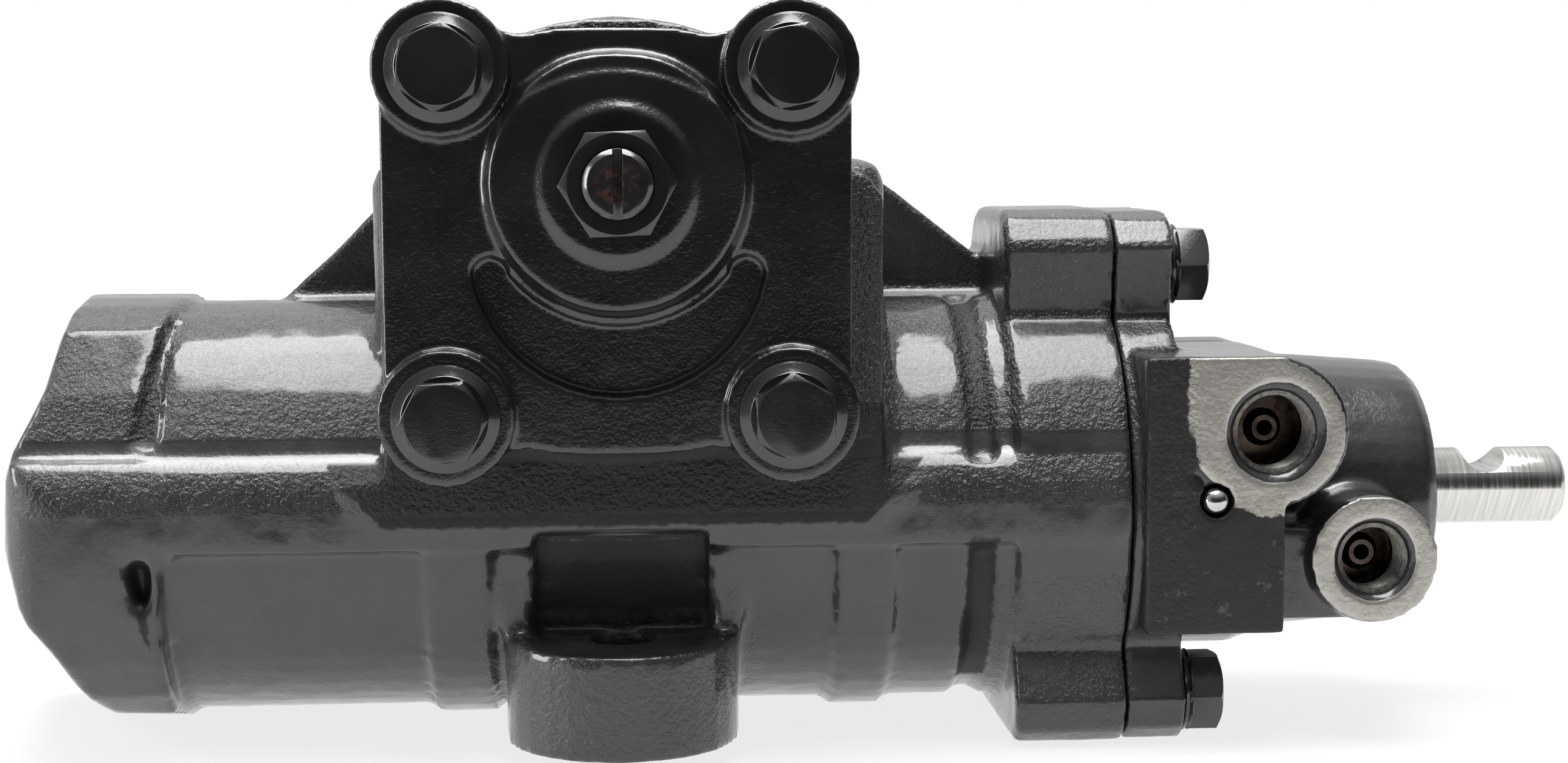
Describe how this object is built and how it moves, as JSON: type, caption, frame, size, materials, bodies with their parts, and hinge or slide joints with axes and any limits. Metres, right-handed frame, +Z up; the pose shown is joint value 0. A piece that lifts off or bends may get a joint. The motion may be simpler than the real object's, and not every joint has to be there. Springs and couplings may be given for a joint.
{
  "type": "steering gearbox",
  "caption": "Recirculating-ball power steering gear with a closed piston housing, bolted side cover, rotary-valve housing with hose ports, lash adjuster and splined output shaft.",
  "frame": {"origin": "centre of the bottom face of the bounding box", "axes": "+X along the worm towards the input shaft, +Y towards the splined output end of the sector shaft, +Z up"},
  "size_m": [0.4079, 0.218, 0.1827],
  "materials": {
    "housing_paint": "semi-gloss black paint over rough iron castings",
    "cover_paint": "gloss black paint over a finer casting",
    "fastener_paint": "gloss black paint over steel",
    "gasket_fibre": "pressed fibre sheet",
    "shaft_steel": "bright ground steel",
    "gear_steel": "hardened and ground steel",
    "bearing_steel": "polished bearing steel",
    "bronze": "machined bronze",
    "brass": "machined brass",
    "seal_rubber": "matt moulded rubber",
    "ring_plastic": "filled low-friction plastic"
  },
  "bodies": {
    "housing": {"gear_housing": "housing_paint", "side_cover": "cover_paint", "side_cover_gasket": "gasket_fibre", "side_cover_bolt_1": "fastener_paint", "side_cover_bolt_2": "fastener_paint", "side_cover_bolt_3": "fastener_paint", "side_cover_bolt_4": "fastener_paint", "adjuster_screw": "fastener_paint", "adjuster_shim": "bearing_steel", "adjuster_lock_nut": "fastener_paint", "sector_front_bush": "bronze", "sector_needle_bearing": "bearing_steel", "sector_oil_seal": "seal_rubber", "sector_seal_ring": "bearing_steel", "sector_dust_seal": "seal_rubber", "valve_housing": "housing_paint", "valve_housing_seal": "seal_rubber", "valve_housing_bolt_1": "fastener_paint", "valve_housing_bolt_2": "fastener_paint", "valve_housing_bolt_3": "fastener_paint", "valve_housing_bolt_4": "fastener_paint", "pressure_port_seat": "brass", "return_port_seat": "brass", "passage_ball_plug": "bearing_steel", "worm_bearing_retainer": "gear_steel", "left_thrust_bearing": "bearing_steel", "right_thrust_bearing": "bearing_steel", "input_needle_bearing": "bearing_steel", "input_oil_seal": "seal_rubber", "input_seal_ring": "bearing_steel", "input_dust_seal": "seal_rubber"},
    "worm": {"worm_shaft": "gear_steel", "valve_sleeve": "gear_steel", "sleeve_ring_1": "ring_plastic", "sleeve_ring_2": "ring_plastic", "sleeve_ring_3": "ring_plastic", "sleeve_pin": "bearing_steel", "torsion_bar": "bearing_steel", "torsion_pin_worm": "bearing_steel"},
    "input": {"input_shaft": "shaft_steel", "torsion_pin_input": "bearing_steel"},
    "piston": {"rack_piston": "gear_steel", "piston_ring": "ring_plastic", "ball_guide": "bearing_steel", "guide_clamp": "bearing_steel", "clamp_screw_1": "bearing_steel", "clamp_screw_2": "bearing_steel", "ball_01": "bearing_steel", "ball_02": "bearing_steel", "ball_03": "bearing_steel", "ball_04": "bearing_steel", "ball_05": "bearing_steel", "ball_06": "bearing_steel", "ball_07": "bearing_steel", "ball_08": "bearing_steel", "ball_09": "bearing_steel", "ball_10": "bearing_steel"},
    "sector": {"sector_shaft": "gear_steel", "pitman_nut": "fastener_paint", "pitman_lock_washer": "fastener_paint"}
  },
  "joints": [
    {"name": "worm_turn", "type": "hinge", "parent": "housing", "child": "worm", "pos_m": [0.00438, -0.019, 0.0574], "axis": [1, 0, 0], "range_deg": [-662.5, 662.5]},
    {"name": "valve_twist", "type": "hinge", "parent": "worm", "child": "input", "pos_m": [0.14438, -0.019, 0.0574], "axis": [1, 0, 0], "range_deg": [-5, 5], "stiffness_Nm_per_rad": 90},
    {"name": "piston_slide", "type": "slide", "parent": "housing", "child": "piston", "axis": [1, 0, 0], "range_m": [-0.0331, 0.0331]},
    {"name": "sector_turn", "type": "hinge", "parent": "housing", "child": "sector", "pos_m": [-0.04562, -0.019, 0.1401], "axis": [0, 1, 0], "range_deg": [-38, 38]}
  ],
  "couplings": [
    {"joint": "worm_turn", "follows": "piston_slide", "rad_per_m": -349.07},
    {"joint": "sector_turn", "follows": "piston_slide", "rad_per_m": -20}
  ]
}
